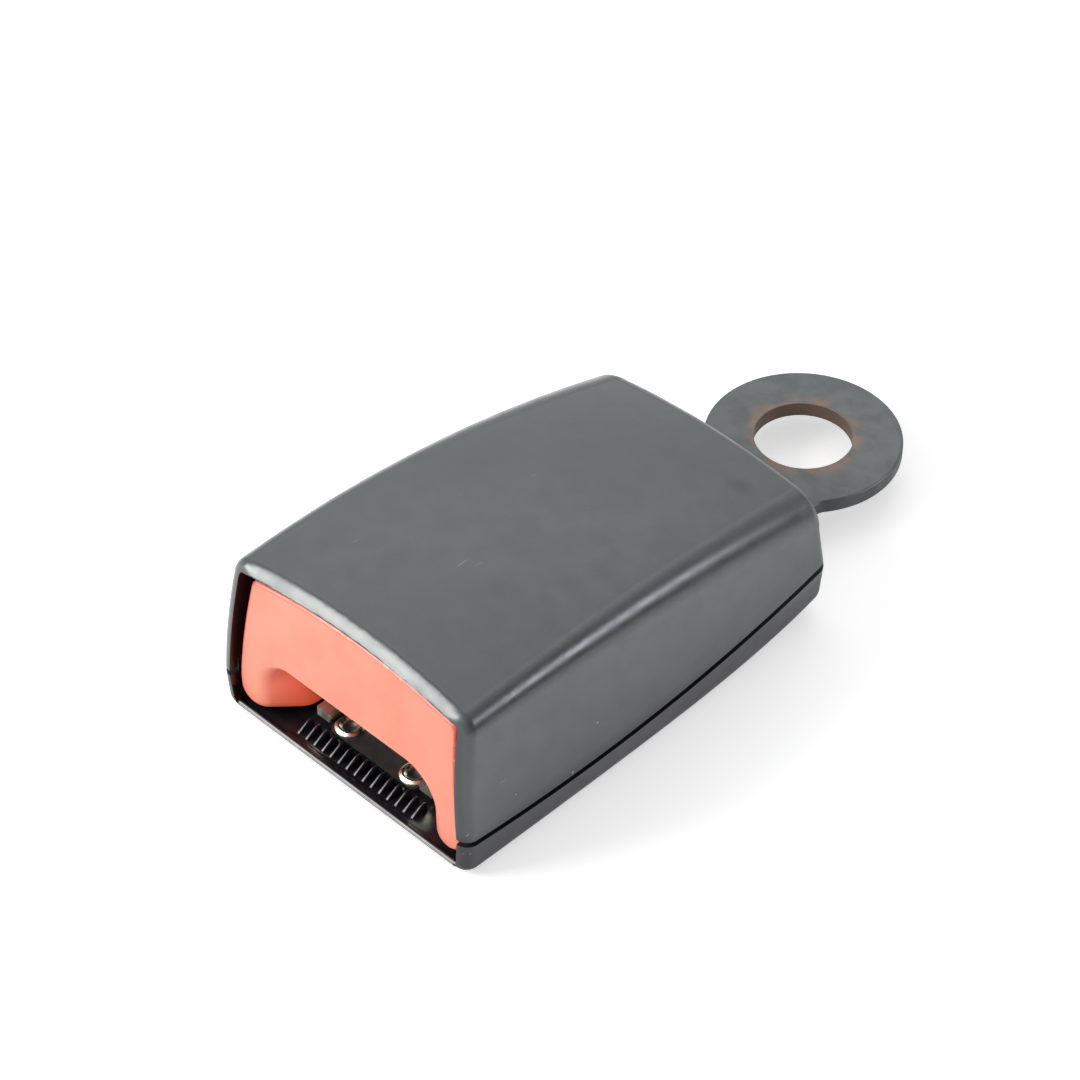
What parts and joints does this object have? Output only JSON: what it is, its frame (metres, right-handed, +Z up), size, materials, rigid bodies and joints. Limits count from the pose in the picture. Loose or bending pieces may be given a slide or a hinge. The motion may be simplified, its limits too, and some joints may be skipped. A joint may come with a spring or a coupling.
{
  "type": "seat belt buckle",
  "caption": "End-release seat belt buckle in a two-shell black housing, with a red button over the tongue slot and a flat steel anchor eye.",
  "frame": {"origin": "centre of the anchor eye's hole, at half the plate's thickness", "axes": "+Y from the mouth towards the anchor eye, +Z up through the upper cover and along the eye's hole, +X across the buckle"},
  "size_m": [0.0446, 0.0988, 0.0264],
  "materials": {
    "cover_plastic": "semi gloss moulded black",
    "button_red": "smooth red",
    "slider_plastic": "matt black acetal",
    "bush_plastic": "natural acetal",
    "frame_steel": "zinc plated",
    "plate_steel": "dark phosphated steel",
    "rivet_steel": "zinc plated",
    "clip_steel": "blued spring steel",
    "eyelet_metal": "bright nickel plated",
    "latch_steel": "hardened steel",
    "spring_steel": "drawn spring wire",
    "pad_felt": "black felt"
  },
  "bodies": {
    "housing": {"upper_cover": "cover_plastic", "lower_cover": "cover_plastic", "frame": "frame_steel", "anchor_plate": "plate_steel", "anchor_rivets": "rivet_steel", "cover_clip": "clip_steel", "clip_eyelets": "eyelet_metal", "latch_pin": "rivet_steel", "latch_pin_clips": "rivet_steel", "latch_spacers": "bush_plastic", "spring_bridge": "frame_steel", "latch_spring": "spring_steel", "ejector_spring": "spring_steel", "button_springs": "spring_steel", "spring_guides": "rivet_steel", "cover_screws": "rivet_steel", "rattle_pads": "pad_felt"},
    "button": {"release_button": "button_red", "release_slider": "slider_plastic"},
    "latch": {"latch": "latch_steel"},
    "ejector": {"ejector": "slider_plastic"}
  },
  "joints": [
    {"name": "button_push", "type": "slide", "parent": "housing", "child": "button", "axis": [0, 1, 0], "range_m": [0, 0.005], "stiffness_N_per_m": 900, "springref_m": -0.004, "deforming": ["button_springs"]},
    {"name": "latch_lift", "type": "hinge", "parent": "housing", "child": "latch", "pos_m": [0, -0.04, 0.00745], "axis": [-1, 0, 0], "range_deg": [0, 9.1], "stiffness_Nm_per_rad": 0.05, "springref_deg": -17.19, "deforming": ["latch_spring"]},
    {"name": "ejector_slide", "type": "slide", "parent": "housing", "child": "ejector", "axis": [0, 1, 0], "range_m": [0, 0.006], "stiffness_N_per_m": 700, "springref_m": -0.003, "deforming": ["ejector_spring"]}
  ],
  "couplings": [
    {"joint": "latch_lift", "follows": "button_push", "rad_per_m": 31.765}
  ]
}
